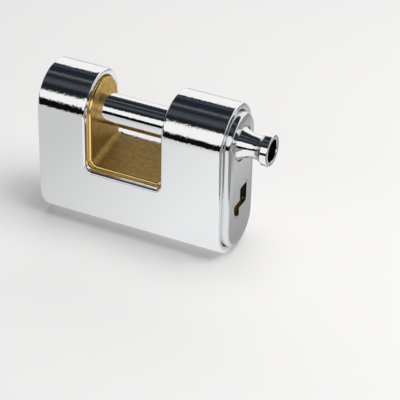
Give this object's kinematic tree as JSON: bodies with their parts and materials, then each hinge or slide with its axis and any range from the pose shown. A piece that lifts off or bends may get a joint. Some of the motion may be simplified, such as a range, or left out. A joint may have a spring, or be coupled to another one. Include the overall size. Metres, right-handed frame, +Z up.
{
  "type": "armoured padlock",
  "caption": "Padlock with a plated steel armour sleeve round a brass core and a turned cross bolt that slides through its gap.",
  "frame": {"origin": "middle of the foot flat, below the middle of the armour's width", "axes": "+X along the bolt towards its knob, +Z up, the plain front faces -Y"},
  "size_m": [0.0927, 0.0292, 0.0635],
  "materials": {
    "armour_plating": "bright chrome plate, faintly rippled",
    "core_brass": "satin machined brass, bright at the edges",
    "end_plate_plating": "bright chrome plate",
    "bolt_plating": "bright chrome plate",
    "seal_rubber": "matt black",
    "plug_plating": "chrome-plated brass",
    "steel": "turned steel",
    "spring_steel": "drawn wire",
    "fixing_pin_steel": "bright ground end",
    "hardened_steel": "dark hardened steel",
    "pin_brass": "turned brass",
    "driver_steel": "turned steel"
  },
  "bodies": {
    "lock_body": {"armour": "armour_plating", "core": "core_brass", "end_plate": "end_plate_plating", "core_pin": "fixing_pin_steel", "plug_pin": "steel", "bore_plug": "pin_brass", "plate_dowel_1": "steel", "plate_dowel_2": "steel", "drill_pin_1": "hardened_steel", "drill_pin_2": "hardened_steel", "locking_spring": "spring_steel", "pin_spring_1": "spring_steel", "pin_spring_2": "spring_steel", "pin_spring_3": "spring_steel", "pin_spring_4": "spring_steel", "pin_spring_5": "spring_steel", "chamber_cap_1": "pin_brass", "chamber_cap_2": "pin_brass", "chamber_cap_3": "pin_brass", "chamber_cap_4": "pin_brass", "chamber_cap_5": "pin_brass"},
    "seal_ring": {"bolt_seal": "seal_rubber"},
    "cross_bolt": {"bolt": "bolt_plating"},
    "cylinder_plug": {"plug": "plug_plating", "cam": "steel", "cam_screw": "steel"},
    "latch_pin": {"locking_pin": "steel"},
    "key_stack_1": {"key_pin_1": "pin_brass"},
    "driver_stack_1": {"driver_pin_1": "driver_steel"},
    "key_stack_2": {"key_pin_2": "pin_brass"},
    "driver_stack_2": {"driver_pin_2": "driver_steel"},
    "key_stack_3": {"key_pin_3": "pin_brass"},
    "driver_stack_3": {"driver_pin_3": "driver_steel"},
    "key_stack_4": {"key_pin_4": "pin_brass"},
    "driver_stack_4": {"driver_pin_4": "driver_steel"},
    "key_stack_5": {"key_pin_5": "pin_brass"},
    "driver_stack_5": {"driver_pin_5": "driver_steel"}
  },
  "joints": [
    {"name": "bolt_slide", "type": "slide", "parent": "lock_body", "child": "seal_ring", "axis": [1, 0, 0], "range_m": [0, 0.046]},
    {"name": "bolt_turn", "type": "hinge", "parent": "seal_ring", "child": "cross_bolt", "pos_m": [0, 0, 0.0483], "axis": [1, 0, 0], "continuous": true},
    {"name": "plug_turn", "type": "hinge", "parent": "lock_body", "child": "cylinder_plug", "pos_m": [0.03, 0, 0.0233], "axis": [1, 0, 0], "range_deg": [0, 90]},
    {"name": "locking_pin_lift", "type": "slide", "parent": "lock_body", "child": "latch_pin", "axis": [0, 0, 1], "range_m": [0, 0.0021], "deforming": ["locking_spring"]},
    {"name": "key_pin_1_drop", "type": "slide", "parent": "cylinder_plug", "child": "key_stack_1", "axis": [0, -0.6018, -0.7986], "range_m": [0, 0.002]},
    {"name": "driver_pin_1_lift", "type": "slide", "parent": "lock_body", "child": "driver_stack_1", "axis": [0, 0.6018, 0.7986], "range_m": [0, 0.002], "stiffness_N_per_m": 60, "springref_m": -0.001, "deforming": ["pin_spring_1"]},
    {"name": "key_pin_2_drop", "type": "slide", "parent": "cylinder_plug", "child": "key_stack_2", "axis": [0, -0.6018, -0.7986], "range_m": [0, 0.002]},
    {"name": "driver_pin_2_lift", "type": "slide", "parent": "lock_body", "child": "driver_stack_2", "axis": [0, 0.6018, 0.7986], "range_m": [0, 0.002], "stiffness_N_per_m": 60, "springref_m": -0.001, "deforming": ["pin_spring_2"]},
    {"name": "key_pin_3_drop", "type": "slide", "parent": "cylinder_plug", "child": "key_stack_3", "axis": [0, -0.6018, -0.7986], "range_m": [0, 0.002]},
    {"name": "driver_pin_3_lift", "type": "slide", "parent": "lock_body", "child": "driver_stack_3", "axis": [0, 0.6018, 0.7986], "range_m": [0, 0.002], "stiffness_N_per_m": 60, "springref_m": -0.001, "deforming": ["pin_spring_3"]},
    {"name": "key_pin_4_drop", "type": "slide", "parent": "cylinder_plug", "child": "key_stack_4", "axis": [0, -0.6018, -0.7986], "range_m": [0, 0.002]},
    {"name": "driver_pin_4_lift", "type": "slide", "parent": "lock_body", "child": "driver_stack_4", "axis": [0, 0.6018, 0.7986], "range_m": [0, 0.002], "stiffness_N_per_m": 60, "springref_m": -0.001, "deforming": ["pin_spring_4"]},
    {"name": "key_pin_5_drop", "type": "slide", "parent": "cylinder_plug", "child": "key_stack_5", "axis": [0, -0.6018, -0.7986], "range_m": [0, 0.002]},
    {"name": "driver_pin_5_lift", "type": "slide", "parent": "lock_body", "child": "driver_stack_5", "axis": [0, 0.6018, 0.7986], "range_m": [0, 0.002], "stiffness_N_per_m": 60, "springref_m": -0.001, "deforming": ["pin_spring_5"]}
  ],
  "couplings": [
    {"joint": "locking_pin_lift", "follows": "plug_turn", "m_per_rad": 0.0013369}
  ]
}
